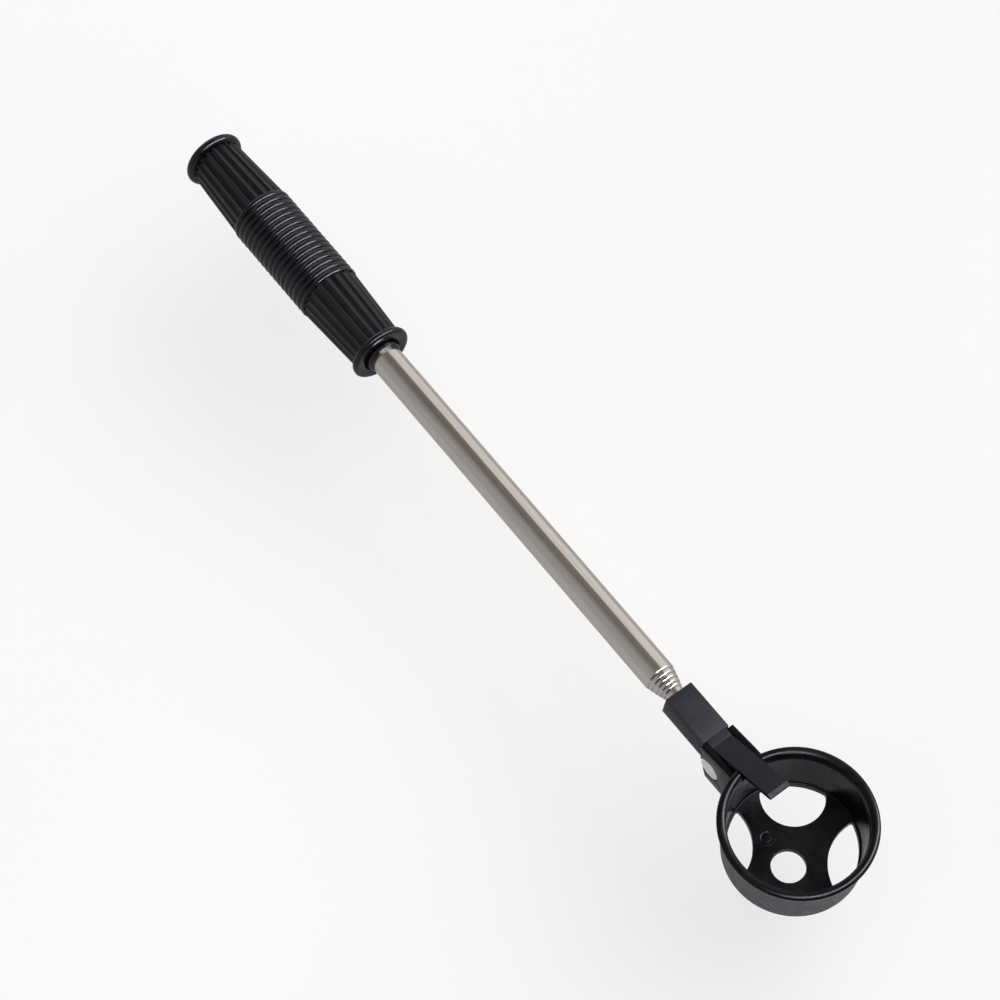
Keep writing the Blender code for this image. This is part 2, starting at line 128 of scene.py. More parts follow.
HEAD_LOW, HEAD_HIGH = box_mm("head_block")
HEAD_HALF_W = (HEAD_HIGH.y - HEAD_LOW.y) / 2
HEAD_BASE = SHAFT_Z - 5.9
HEAD_TOP = SHAFT_Z + 5.9
HEAD_SLANT = 1.3
HEAD_X = HEAD_LOW.x + HEAD_SLANT
SOCKET_DEPTH = 9.0
SHOULDER_X = PIN_X - 5.8
TONGUE_HALF_W = 4.4
TONGUE_NOSE_R = 4.4
POCKET_HALF_W = 2.2
FINGER_TIP_X = HEAD_HIGH.x
FOLD_X = SHOULDER_X + 3.4
FINGER_RISE = 12.86
FINGER_THICK = 2.2
FINGER_HALF_W = 4.35
FINGER_CHAMFER = 1.9

# --- Camera -------------------------------------------------------------------------------------------

CAMERA_AZIMUTH = 53.44
CAMERA_ELEVATION = 61.67
CAMERA_ROLL = -0.56
CAMERA_DISTANCE = 1.0059
CAMERA_LENS = 97.76
CAMERA_AIM = (-0.0008, -0.0022, SHAFT_Z * MM)

# --- Floor and lights ---------------------------------------------------------------------------------

FLOOR_DROP = 43.5  # in millimetres, a little more than the open cup reaches down
FLOOR_RADIUS = 8.0  # in metres
FLOOR_GLOW = 0.5  # the strength of the floor's own light
FLOOR_GLOW_IN_GLOSS = 0.1  # how much of it reflections see
STRIP_DISTANCE = 2.0  # in metres, from the origin
BACKDROP = (0.96, 0.96, 0.95)
AROUND_SHAFT = [  # (half turns from +Y over the top to -Y, the tent's shade there)
    (0.0, (0.95, 0.93, 0.9)),
    (0.32, (0.9, 0.87, 0.84)),
    (0.35, (0.24, 0.215, 0.2)),
    (0.55, (0.21, 0.19, 0.18)),
    (0.72, (0.42, 0.41, 0.4)),
    (1.0, (0.5, 0.5, 0.5)),
]
ALONG_SHAFT = [  # (0 for the -X direction and 1 for +X, how bright the tent is there)
    (0.08, (0.2, 0.2, 0.2)),
    (0.25, (1.0, 1.0, 1.0)),
    (0.68, (1.0, 1.0, 1.0)),
    (0.76, (0.12, 0.12, 0.12)),
]


# --- Node materials -----------------------------------------------------------------------------------

COOL = (0.88, 0.9, 1.0)  # the tint of the highlights on black plastic
NOISE_LOW = 0.3  # most of a noise's values lie between these two
NOISE_HIGH = 0.7


class Surface:
    """A Principled material, and the few nodes that its procedural detail is made of."""

    def __init__(self, name, roughness=0.5, metallic=0.0, gloss=0.5, tint=(1, 1, 1)):
        self.material = bpy.data.materials.new(name)
        self.material.use_nodes = True
        self.tree = self.material.node_tree
        self.shader = self.tree.nodes["Principled BSDF"]
        self.shader.inputs["Metallic"].default_value = metallic
        self.shader.inputs["Roughness"].default_value = roughness
        self.shader.inputs["Specular IOR Level"].default_value = gloss
        self.shader.inputs["Specular Tint"].default_value = (*tint, 1)
        self.place = self.tree.nodes.new("ShaderNodeTexCoord").outputs["Object"]

    def link(self, source, target):
        self.tree.links.new(source, target)

    def noise(self, scale, stretch=(1, 1, 1), detail=3.0):
        """Noise from 0 to 1, of about scale features a metre, drawn out along axes of small stretch."""
        mapping = self.tree.nodes.new("ShaderNodeMapping")
        mapping.inputs["Scale"].default_value = stretch
        self.link(self.place, mapping.inputs["Vector"])
        texture = self.tree.nodes.new("ShaderNodeTexNoise")
        texture.inputs["Scale"].default_value = scale
        texture.inputs["Detail"].default_value = detail
        self.link(mapping.outputs["Vector"], texture.inputs["Vector"])
        return texture.outputs["Fac"]

    def colours(self, value, dark, light, start=NOISE_LOW, end=NOISE_HIGH):
        """The base colour, from dark where the value is at start to light where it is at end."""
        ramp = self.tree.nodes.new("ShaderNodeValToRGB")
        ramp.color_ramp.elements[0].position = start
        ramp.color_ramp.elements[0].color = (*dark, 1)
        ramp.color_ramp.elements[1].position = end
        ramp.color_ramp.elements[1].color = (*light, 1)
        self.link(value, ramp.inputs["Fac"])
        self.link(ramp.outputs["Color"], self.shader.inputs["Base Color"])

    def rough(self, value, low, high):
        """The roughness, from low to high as the value goes from NOISE_LOW to NOISE_HIGH."""
        spread = self.tree.nodes.new("ShaderNodeMapRange")
        spread.inputs["From Min"].default_value = NOISE_LOW
        spread.inputs["From Max"].default_value = NOISE_HIGH
        spread.inputs["To Min"].default_value = low
        spread.inputs["To Max"].default_value = high
        self.link(value, spread.inputs["Value"])
        self.link(spread.outputs["Result"], self.shader.inputs["Roughness"])

    def bump(self, value, strength, depth):
        bump = self.tree.nodes.new("ShaderNodeBump")
        bump.inputs["Strength"].default_value = strength
        bump.inputs["Distance"].default_value = depth
        self.link(value, bump.inputs["Height"])
        self.link(bump.outputs["Normal"], self.shader.inputs["Normal"])


def grip_material():
    """Satin black moulding: a faint cloudiness, and a gloss worn unevenly by hands."""
    surface = Surface("grip_black", gloss=0.38, tint=COOL)
    surface.colours(surface.noise(60, detail=5), (0.0018, 0.0022, 0.0032), (0.0042, 0.0048, 0.0065))
    surface.rough(surface.noise(220, detail=4), 0.19, 0.3)
    surface.bump(surface.noise(3000, detail=2), 0.06, 0.00005)
    return surface.material


def gloss_black_material():
    surface = Surface("gloss_black", tint=COOL)
    surface.colours(surface.noise(90), (0.002, 0.0022, 0.003), (0.005, 0.0054, 0.0065))
    surface.rough(surface.noise(200, detail=4), 0.11, 0.18)
    surface.bump(surface.noise(400), 0.01, 0.00005)
    return surface.material


def head_material(name, dark, light):
    """Slightly blue, matt black moulding with a fine spark-eroded grain and pale scuffs."""
    surface = Surface(name, gloss=0.24, tint=COOL)
    surface.colours(surface.noise(130, detail=8), dark, light)
    surface.rough(surface.noise(500, detail=4), 0.42, 0.6)
    surface.bump(surface.noise(2600, detail=2), 0.2, 0.00015)
    return surface.material


def cup_outside_material():
    """The same plastic, off the mould's coarsely eroded side: paler, with a fine upright grain."""
    surface = Surface("cup_black_matt", gloss=0.4, tint=COOL)
    grain = surface.noise(1200, stretch=(1, 1, 0.6), detail=6)
    surface.colours(grain, (0.058, 0.06, 0.067), (0.095, 0.099, 0.111))
    surface.rough(surface.noise(300, detail=5), 0.48, 0.66)
    surface.bump(surface.noise(2200, detail=2), 0.25, 0.00015)
    return surface.material


def cup_material():
    """Satin black moulding, smoother and darker than the head block."""
    surface = Surface("cup_black", gloss=0.2, tint=COOL)
    surface.colours(surface.noise(70, detail=6), (0.0016, 0.0019, 0.0027), (0.0045, 0.005, 0.0065))
    surface.rough(surface.noise(160, detail=5), 0.2, 0.34)
    surface.bump(surface.noise(1800, detail=3), 0.06, 0.0001)
    return surface.material


def nylon_material():
    surface = Surface("natural_nylon")
    surface.colours(surface.noise(80), (0.5, 0.49, 0.44), (0.6, 0.59, 0.55))
    surface.rough(surface.noise(300), 0.4, 0.58)
    surface.bump(surface.noise(1200), 0.08, 0.0001)
    return surface.material


def tube_material():
    """Drawn stainless: fine lines along the tube, with patches that are a little duller."""
    surface = Surface("drawn_stainless", metallic=1.0)
    lines = surface.noise(2600, stretch=(0.012, 1, 1), detail=5)
    surface.colours(lines, (0.53, 0.505, 0.48), (0.66, 0.635, 0.61), start=0.25, end=0.75)
    surface.rough(surface.noise(1400, stretch=(0.02, 1, 1), detail=4), 0.1, 0.22)
    surface.bump(lines, 0.03, 0.00003)
    return surface.material


def rivet_material():
    """Zinc-bright steel, dulled and faintly pitted."""
    surface = Surface("rivet_steel", metallic=0.4)
    surface.colours(surface.noise(700, detail=5), (0.68, 0.68, 0.69), (0.93, 0.93, 0.94))
    surface.rough(surface.noise(900, detail=4), 0.24, 0.42)
    surface.bump(surface.noise(1500, detail=4), 0.25, 0.0001)
    return surface.material


def spring_material():
    surface = Surface("spring_steel", metallic=1.0)
    surface.colours(surface.noise(800, detail=4), (0.35, 0.34, 0.32), (0.5, 0.48, 0.46))
    surface.rough(surface.noise(600), 0.22, 0.4)
    surface.bump(surface.noise(2000), 0.1, 0.00005)
    return surface.material


# --- Shapes -------------------------------------------------------------------------------------------

ALONG_X = Matrix.Rotation(math.pi / 2, 4, "Y")
TOWARDS_MINUS_Y = Matrix.Rotation(math.pi / 2, 4, "X")
UPRIGHT = Matrix.Identity(4)
WELD_DISTANCE = 0.002 * MM
SEAM_DISTANCE = 0.01 * MM


def rounded(corners, steps=5):
    """The outline of (a, b, radius) corners, each rounded by a parabola of about that radius."""
    points = []
    for i, (a, b, radius) in enumerate(corners):
        corner = Vector((a, b))
        if radius <= 0:
            points.append(corner)
            continue
        before = Vector(corners[i - 1][:2]) - corner
        after = Vector(corners[(i + 1) % len(corners)][:2]) - corner
        bend = before.angle(after)
        reach = min(radius / math.tan(bend / 2), 0.49 * before.length, 0.49 * after.length)
        first = corner + before.normalized() * reach
        last = corner + after.normalized() * reach
        for step in range(steps + 1):
            t = step / steps
            points.append(first * (1 - t) ** 2 + corner * (2 * t * (1 - t)) + last * t**2)
    return [(point.x, point.y) for point in points]


def arc(centre, radius, start, end, steps):
    """Points of a circular arc, with its angles in degrees."""
    angles = [math.radians(start + (end - start) * i / steps) for i in range(steps + 1)]
    return [(centre[0] + radius * math.cos(a), centre[1] + radius * math.sin(a)) for a in angles]


def link_object(name, data):
    obj = bpy.data.objects.new(name, data)
    bpy.context.scene.collection.objects.link(obj)
    return obj


def settle(obj, sharp=40):
    """Applies modifiers and transform, welds the mesh, and shades all but its sharp edges smooth."""
    bpy.context.view_layer.update()
    graph = bpy.context.evaluated_depsgraph_get()
    mesh = bpy.data.meshes.new_from_object(obj.evaluated_get(graph))
    mesh.transform(obj.matrix_world)
    name = obj.name
    bpy.data.objects.remove(obj, do_unlink=True)
    work = bmesh.new()
    work.from_mesh(mesh)
    bmesh.ops.remove_doubles(work, verts=work.verts, dist=WELD_DISTANCE)
    bmesh.ops.recalc_face_normals(work, faces=work.faces)
    work.to_mesh(mesh)
    work.free()
    mesh.shade_smooth()
    mesh.set_sharp_from_angle(angle=math.radians(sharp))
    return link_object(name, mesh)


def finish_piece(piece, body, material, slot, *nodes):
    """Gives a piece its material and its body, and hides the CAD nodes that it stands for."""
    piece.data.materials.clear()
    piece.data.materials.append(material)
    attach(piece, body)
    if nodes:
        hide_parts(*nodes)


def turned(name, profile, place, tilt, closed=True, steps=96):
    """Turns (radius, height) points about a line through place. An unclosed profile ends on that line."""
    mesh = bpy.data.meshes.new(name)
    points = [(r * MM, 0, h * MM) for r, h in profile]
    edges = [(i, i + 1) for i in range(len(points) - 1)]
    if closed:
        edges.append((len(points) - 1, 0))
    mesh.from_pydata(points, edges, [])
    obj = link_object(name, mesh)
    obj.matrix_world = Matrix.Translation(Vector(place) * MM) @ tilt
    screw = obj.modifiers.new("turn", "SCREW")
    screw.steps = screw.render_steps = steps
    screw.use_merge_vertices = True
    screw.merge_threshold = SEAM_DISTANCE
    return obj


def on_shaft(name, profile, closed=True, steps=96):
    """Turns (radius, X) points about the shaft's axis."""
    return turned(name, profile, (0, 0, SHAFT_Z), ALONG_X, closed, steps)


def thick_sheet(name, outline, half_thick):
    """A flat outline, made thick on both of its sides."""
    curve = bpy.data.curves.new(name, "CURVE")
    curve.dimensions = "2D"
    curve.fill_mode = "BOTH"
    curve.extrude = half_thick * MM
    spline = curve.splines.new("POLY")
    spline.points.add(len(outline) - 1)
    for point, (a, b) in zip(spline.points, outline):
        point.co = (a * MM, b * MM, 0, 1)
    spline.use_cyclic_u = True
    return link_object(name, curve)


def plate(name, outline, y_low, y_high):
    """An outline of (X, Z) points, extruded along Y."""
    obj = thick_sheet(name, outline, (y_high - y_low) / 2)
    obj.matrix_world = Matrix.Translation((0, (y_low + y_high) / 2 * MM, 0)) @ TOWARDS_MINUS_Y
    return settle(obj)


def bevel(obj, width, angle=35):
    """Rounds the edges that bend by more than angle."""
    modifier = obj.modifiers.new("edges", "BEVEL")
    modifier.width = width * MM
    modifier.segments = 3
    modifier.limit_method = "ANGLE"
    modifier.angle_limit = math.radians(angle)
    modifier.use_clamp_overlap = True
    return obj


def cut(obj, *cutters):
    """Cuts the cutters out of an object, and then removes them."""
    for cutter in cutters:
        modifier = obj.modifiers.new(cutter.name, "BOOLEAN")
        modifier.operation = "DIFFERENCE"
        modifier.object = cutter
        modifier.solver = "EXACT"
    made = settle(obj)
    for cutter in cutters:
        bpy.data.objects.remove(cutter, do_unlink=True)
    return made


def block(name, low, high):
    """A plain block between its lowest and highest corners."""
    work = bmesh.new()
    size = Vector(high) - Vector(low)
    centre = (Vector(high) + Vector(low)) / 2
    place = Matrix.Translation(centre * MM) @ Matrix.Diagonal((*(size * MM), 1))
    bmesh.ops.create_cube(work, size=1, matrix=place)
    mesh = bpy.data.meshes.new(name)
    work.to_mesh(mesh)
    work.free()
    return link_object(name, mesh)


# --- Grip ---------------------------------------------------------------------------------------------


def grip_stations():
    """(X, radius, 1 with ribs or 0 without) from the collar's recess over the outside to the cap's."""
    front_flange = GRIP_HIGH.x - FRONT_FLANGE_EDGE
    butt_flange = GRIP_LOW.x + BUTT_FLANGE_EDGE
    bore_r = TUBE_RADII[0] + 0.1
    mouth_r = COLLAR_R + 0.6
    cap_r = CAP_R + 0.1
    middle = (front_flange + butt_flange) / 2
    ring_half = (RING_COUNT - 1) * RING_PITCH / 2
    mouth = [(GRIP_HIGH.x - RECESS_DEPTH, bore_r), (GRIP_HIGH.x - RECESS_DEPTH, mouth_r)]
    mouth_edge = ((0.8, 0), (0.45, 0.06), (0.2, 0.22), (0.05, 0.5))
    mouth += [(GRIP_HIGH.x - a, mouth_r + b) for a, b in mouth_edge]
    butt_edge = ((0, 0.4), (0.1, 0.12), (0.4, 0), (RECESS_DEPTH, 0))
    butt = [(GRIP_LOW.x + a, cap_r + b) for a, b in butt_edge]
    stations = [(x, r, 0) for x, r in mouth]
    stations += flange_stations(front_flange, 1, FRONT_FLANGE_EDGE)
    stations += cone_stations(front_flange - FLANGE_REAR, middle + ring_half)
    stations += ring_stations(middle + ring_half)
    stations += cone_stations(butt_flange + FLANGE_REAR, middle - ring_half)[::-1]
    stations += flange_stations(butt_flange, -1, BUTT_FLANGE_EDGE)[::-1]
    stations += [(x, r, 0) for x, r in butt]
    return stations + [(GRIP_LOW.x + RECESS_DEPTH, bore_r, 0)]


def flange_stations(x, outward, edge):
    """Over a flange, from its outer face, round its edge and down its sloping back to the neck."""
    quarter = arc((0, 0), 1, 0, 90, 8)
    stations = [(x + outward * edge * a, FLANGE_R - edge + edge * b, 0) for a, b in quarter]
    fall = FLANGE_R - NECK_R
    stations += [(x - outward * FLANGE_REAR * b, NECK_R + fall * a, 0) for a, b in quarter[1:]]
    return stations


def cone_stations(neck_x, barrel_x):
    """The straight ribs from the neck into the first ring, and then that ring's smooth outer side."""
    outward = math.copysign(1, neck_x - barrel_x)
    end_x = barrel_x + outward * RING_PITCH * 0.4
    end_r = BARREL_R - ring_fall(RING_PITCH * 0.4)
    stations = []
    for share in (0.006, 0.1, 0.2, 0.35, 0.5, 0.65, 0.8, 0.9, 0.96, 0.985, 1.0):
        stations.append((neck_x + (end_x - neck_x) * share, NECK_R + (end_r - NECK_R) * share, 1))
    for share in (0.37, 0.3, 0.2, 0.1):
        beside = share * RING_PITCH
        stations.append((barrel_x + outward * beside, BARREL_R - ring_fall(beside), 0))
    return stations


def ring_fall(beside):
    """How far a ring's round surface lies below its crest, at a distance beside it."""
    bend = ((RING_PITCH / 2) ** 2 + RING_DEPTH**2) / (2 * RING_DEPTH)
    return bend - math.sqrt(bend**2 - beside**2)


def ring_stations(front_x):
    """Rings like a row of half-sunk wires, from the first one's crest to the last one's."""
    stations = []
    steps = 8
    for step in range((RING_COUNT - 1) * steps + 1):
        beside = RING_PITCH * (step / steps - round(step / steps))
        stations.append((front_x - step * RING_PITCH / steps, BARREL_R - ring_fall(beside), 0))
    return stations


def groove_share(angle):
    """0 on a rib's crown and near 1 in the wide groove beside it, for an angle in degrees from +Y."""
    pitch = 360 / RIB_COUNT
    offset = abs((angle - RIB_PHASE + pitch / 2) % pitch - pitch / 2) / (pitch / 2)
    return 1 - math.exp(-((offset / RIB_WIDTH) ** 2))


def make_grip():
    """The grip's skin, a loft through its stations that closes on itself down the bore."""
    stations = grip_stations()
    around = RIB_COUNT * RIB_STEPS
    angles = [360 * i / around + RIB_PHASE for i in range(around)]
    grooves = [groove_share(angle) for angle in angles]
    points = []
    for x, radius, ribbed in stations:
        for angle, groove in zip(angles, grooves):
            r = radius - RIB_DEPTH * ribbed * groove
            a = math.radians(angle)
            points.append((x * MM, r * math.cos(a) * MM, (SHAFT_Z + r * math.sin(a)) * MM))
    faces = []
    for row in range(len(stations)):
        this_row = row * around
        next_row = (row + 1) % len(stations) * around
        for i in range(around):
            j = (i + 1) % around
            faces.append((this_row + i, this_row + j, next_row + j, next_row + i))
    mesh = bpy.data.meshes.new("grip_moulding")
    mesh.from_pydata(points, [], faces)
    grip = settle(link_object("grip_moulding", mesh), 32)
    finish_piece(grip, "handle", finishes["grip"], "grip_plastic", "grip")


def make_end_cap():
    """The plug in the butt, with a dished face."""
    rim = CAP_R - 0.1
    stem = rim - 2
    face = CAP_LOW.x
    shoulder = face + CAP_RIM_DEPTH
    profile = [(0, CAP_HIGH.x, 0), (stem, CAP_HIGH.x, 0.3), (stem, shoulder, 0), (rim, shoulder, 0)]
    profile += [(rim, face + 0.4, 0.5), (rim - 3.2, face + 0.1, 1.5)]
    profile += [(rim - 4.4, face + 0.9, 0.8), (0, face + 0.7, 0)]
    cap = settle(on_shaft("butt_cap", rounded(profile), closed=False))
    finish_piece(cap, "handle", finishes["grip"], "grip_plastic", "end_cap")


def make_collar():
    """The glossy ring that guides the shaft out of the grip."""
    bore = TUBE_RADII[0] + 0.08
    face = GRIP_HIGH.x
    seat = face - COLLAR_SEAT
    profile = [(bore, COLLAR_TIP, 0.1), (COLLAR_R - 0.25, COLLAR_TIP, 0.45), (COLLAR_R, face + 0.5, 0.8)]
    profile += [(COLLAR_R, seat, 0), (bore, seat, 0)]
    collar = settle(on_shaft("shaft_collar", rounded(profile)))
    finish_piece(collar, "handle", finishes["gloss"], "collar_plastic", "front_collar")


# --- Shaft --------------------------------------------------------------------------------------------


def tube_profile(index):
    """(radius, X, rounding) round a tube's wall: the last one is plain, the others have a rolled lip."""
    rear, front = TUBE_ENDS[index]
    outer = TUBE_RADII[index]
    if index == len(TUBE_NAMES) - 1:
        inner = outer - LAST_TUBE_WALL
        return [(outer, front, 0), (outer, rear, 0.1), (inner, rear, 0.1), (inner, front, 0)]
    inner = outer - TUBE_WALL
    profile = [(outer - LIP_DEPTH, front, 0.12), (outer, front - LIP_LENGTH, 0.55), (outer, rear, 0.1)]
    return profile + [(inner, rear, 0.1), (inner, front - 2 * LIP_LENGTH, 0)]


def make_tube(index):
    """A drawn tube, whose lip is rolled in round the next one and leaves a thin dark gap."""
    name = TUBE_NAMES[index]
    tube = settle(on_shaft(f"{name}_drawn", rounded(tube_profile(index))), 50)
    finish_piece(tube, TUBE_BODIES[index], finishes["tube"], "stainless", name)


# --- Head block and finger ----------------------------------------------------------------------------


def make_head_block():
    """The block that the last tube is fixed in, with its lower edge a little longer than its top."""
    outline = [(HEAD_X, HEAD_TOP), (SHOULDER_X, HEAD_TOP)]
    outline += [(SHOULDER_X, HEAD_BASE), (HEAD_X - HEAD_SLANT, HEAD_BASE)]
    body = plate("head_block_body", outline, -HEAD_HALF_W, HEAD_HALF_W)
    socket_r = TUBE_RADII[-1] + 0.12
    end = HEAD_X + SOCKET_DEPTH
    mouth = HEAD_X - 4
    profile = [(0, end), (socket_r, end), (socket_r, mouth), (0, mouth)]
    body = cut(body, settle(on_shaft("socket", profile, closed=False, steps=64)))
    body = settle(bevel(body, 0.3))
    finish_piece(body, "head", finishes["head"], "head_plastic", "head_block")


def make_tongue():
    """The hinge tongue between the ears, round about the pin, with a pocket for the spring's coils."""
    root = SHOULDER_X - 1.5
    nose = PIN_X + TONGUE_NOSE_R
    outline = [(root, HEAD_TOP - 0.01), (FOLD_X, HEAD_TOP - 0.01), (nose - 2.2, HEAD_TOP - 0.4)]
    outline += [(nose, HEAD_TOP - 2.4)]
    outline += arc((PIN_X, PIN_Z), TONGUE_NOSE_R, 0, -120, 16)
    outline += [(root, HEAD_BASE + 0.2)]
    tongue = plate("head_tongue", outline, -TONGUE_HALF_W, TONGUE_HALF_W)
    low = (PIN_X - 4.3, -POCKET_HALF_W, PIN_Z - 6)
    high = (PIN_X + 6, POCKET_HALF_W, PIN_Z + 3.4)
    tongue = settle(bevel(cut(tongue, block("pocket", low, high)), 0.25))
    finish_piece(tongue, "head", finishes["head"], "head_plastic")


def make_finger():
    """The latch finger: a flat bar that climbs over the mouth of the cup to a chamfered tip."""
    chamfer_x = FINGER_TIP_X - FINGER_CHAMFER
    tip_z = HEAD_TOP + FINGER_RISE
    climb = FINGER_RISE / (chamfer_x - FOLD_X)
    drop = FINGER_THICK * math.hypot(1, climb)
    corners = [
        (FOLD_X - 0.8, HEAD_TOP - 0.35, 0),
        (FOLD_X, HEAD_TOP, 1.0),
        (chamfer_x, tip_z, 0.25),
        (FINGER_TIP_X - 0.1, tip_z - 0.65, 0.2),
        (FINGER_TIP_X, tip_z - 1.2, 0.2),
        (FINGER_TIP_X - 0.5, tip_z + climb * (FINGER_CHAMFER - 0.5) - drop, 0.3),
        (FOLD_X, HEAD_TOP - drop, 2.0),
        (FOLD_X - 1.5, HEAD_TOP - drop - 0.2, 0),
    ]
    finger = plate("latch_finger", rounded(corners, 4), -FINGER_HALF_W, FINGER_HALF_W)
    finger = settle(bevel(finger, 0.3, angle=50))
    finish_piece(finger, "head", finishes["finger"], "head_plastic")


# --- Cup ----------------------------------------------------------------------------------------------


def cup_corners():
    """(radius, height, rounding) up the inside of the cup, over its rolled rim and down the outside."""
    lip = RIM_TOP - 4.3
    return [
        (0, FLOOR_THICK, 0),
        (CUP_FLOOR_R, FLOOR_THICK, 0.5),
        (24.6, RIM_TOP - 3.4, 2.0),  # where the inner wall turns out into the rim
        (25.1, RIM_TOP - 0.8, 1.0),
        (26.6, RIM_TOP - 0.05, 1.8),  # the rim's crown
        (RIM_R + 0.05, RIM_TOP - 0.7, 1.4),
        (RIM_R - 0.5, lip + 0.4, 0.7),
        (26.25, lip, 0.5),  # where the outer wall meets the rim's underside
        (WALL_FOOT_R, 0, 0.9),
        (0, 0, 0),
    ]


def window_outline(angle, distance, radius):
    """A circle, or the lens that the floor's limit leaves of it, with its corners cut off."""
    turn = Matrix.Rotation(math.radians(angle), 2)
    limit = WINDOW_LIMIT_R
    if distance + radius <= limit:
        shape = arc((distance, 0), radius, 0, 354, 59)
    else:
        wide = math.acos((distance**2 + limit**2 - radius**2) / (2 * distance * limit))
        near = math.acos((distance**2 + radius**2 - limit**2) / (2 * distance * radius))
        wide = math.degrees(wide) * WINDOW_TRIM
        near = math.degrees(near) * WINDOW_TRIM
        shape = arc((0, 0), limit, -wide, wide, 28)
        shape += arc((distance, 0), radius, 180 - near, 180 + near, 28)
    return [tuple(turn @ Vector(point)) for point in shape]


def window_cutter(angle, distance, radius):
    cutter = thick_sheet("window", window_outline(angle, distance, radius), FLOOR_THICK / 2 + 1)
    cutter.location = Vector((CUP_X, 0, FLOOR_THICK / 2)) * MM
    return settle(cutter)


def make_cup_shell():
    """The cup's wall, rim and floor in one, with its windows and the notch that the finger lies in."""
    profile = rounded(cup_corners())
    shell = settle(turned("cup_shell", profile, (CUP_X, 0, 0), UPRIGHT, closed=False, steps=160))
    low = (CUP_X - RIM_R - 2, -NOTCH_HALF_W, NOTCH_FLOOR)
    high = (CUP_X - CUP_FLOOR_R + 2, NOTCH_HALF_W, RIM_TOP + 5)
    windows = [window_cutter(*window) for window in WINDOWS.values()]
    shell = cut(shell, block("finger_notch", low, high), *windows)
    shell = settle(bevel(shell, 0.25, angle=50))
    finish_piece(shell, "ball_cup", finishes["cup"], "head_plastic", "cup")
    roughen_outside(shell)


def roughen_outside(shell):
    """Gives the outer side of the wall, below the rolled rim, its paler and rougher material."""
    shell.data.materials.append(finishes["cup_outside"])
    for face in shell.data.polygons:
        from_axis = Vector((face.center.x - CUP_X * MM, face.center.y, 0))
        faces_out = face.normal.dot(from_axis.normalized()) > 0.6
        below_rim = face.center.z < (RIM_TOP - 3.5) * MM
        on_wall = from_axis.length > WALL_FOOT_R * 0.95 * MM
        if faces_out and below_rim and on_wall:
            face.material_index = 1


def make_spring_ledge():
    """The web between the ears, where the spring's leg would press."""
    low = (PIN_X + 4.75, -EAR_IN - 0.5, PIN_Z + 3.6)
    high = (CUP_X - EAR_END_R, EAR_IN + 0.5, PIN_Z + 5.8)
    ledge = settle(bevel(block("cup_spring_ledge", low, high), 0.3))
    finish_piece(ledge, "ball_cup", finishes["cup"], "head_plastic")


def make_gate_boss():
    """The trimmed stub that the mould's gate left in the floor, with a shallow ring round it."""
    root = -0.3
    profile = [(0, 0.25, 0), (1.5, 0.2, 0.25), (1.9, -0.1, 0.2), (2.3, 0.0, 0.2), (2.6, 0.14, 0.2)]
    profile += [(3.0, root, 0), (0, root, 0)]
    place = (GATE_X, GATE_Y, FLOOR_THICK)
    boss = settle(turned("cup_gate_boss", rounded(profile, 3), place, UPRIGHT, closed=False, steps=48))
    finish_piece(boss, "ball_cup", finishes["cup"], "head_plastic")


def make_ear(name, side):
    """A hinge ear, with the recess that the head of the pin or its clip sits in."""
    rear = SHOULDER_X + 0.4
    wall = CUP_X - EAR_END_R
    foot = 0.02
    outline = [(rear, SHAFT_Z + 5.6), (rear + 0.5, PIN_Z + 1.6), (rear + 3.8, foot)]
    outline += [(wall, foot), (wall, SHAFT_Z + 8.6), (rear + 12.3, SHAFT_Z + 7.9)]
    span = sorted((side * EAR_IN, side * EAR_OUT))
    ear = plate(name, outline, *span)
    seat = EAR_OUT - EAR_RECESS_DEPTH
    low, high = sorted((-side * seat, -side * (seat + 4)))
    profile = [(0, high), (EAR_RECESS_R, high), (EAR_RECESS_R, low), (0, low)]
    recess = turned("recess", profile, (PIN_X, 0, PIN_Z), TOWARDS_MINUS_Y, closed=False, steps=64)
    ear = settle(bevel(cut(ear, settle(recess)), 0.25))
    finish_piece(ear, "ball_cup", finishes["cup"], "head_plastic")


def make_hinge_pin():
    """The rivet, with its domed head on the -Y side and a shank through the ears and the tongue."""
    seat = EAR_OUT - 0.8
    end = -EAR_OUT - 0.1
    profile = [(0, seat + 1.35, 0), (2.2, seat + 1.28, 3.0)]
    profile += [(PIN_HEAD_R, seat + 0.75, 0.35), (PIN_HEAD_R, seat, 0.1)]
    profile += [(PIN_R, seat, 0), (PIN_R, end, 0.3), (0, end, 0)]
    pin = turned("rivet", rounded(profile), (PIN_X, 0, PIN_Z), TOWARDS_MINUS_Y, closed=False, steps=72)
    finish_piece(settle(pin), "ball_cup", finishes["rivet"], "rivet_steel", "hinge_pin")


# --- Carried-over CAD nodes ---------------------------------------------------------------------------


def finish_cad_nodes():
    """Gives the CAD nodes that no piece replaces, nearly all of them out of sight, their materials."""
    for name in ["rear_bush", "tube_stop_plug"] + [f"slide_bush_{number}" for number in range(2, 7)]:
        repaint(name, finishes["nylon"])
    repaint("socket_pin", finishes["rivet"])
    repaint("pin_clip", finishes["rivet"])
    repaint("torsion_spring", finishes["spring"])


def repaint(node, material):
    """Gives a CAD node a material, and shades all but its sharp edges smooth."""
    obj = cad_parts[node]
    obj.data.materials.clear()
    obj.data.materials.append(material)
    obj.data.shade_smooth()
    obj.data.set_sharp_from_angle(angle=math.radians(35))


# --- Studio -------------------------------------------------------------------------------------------


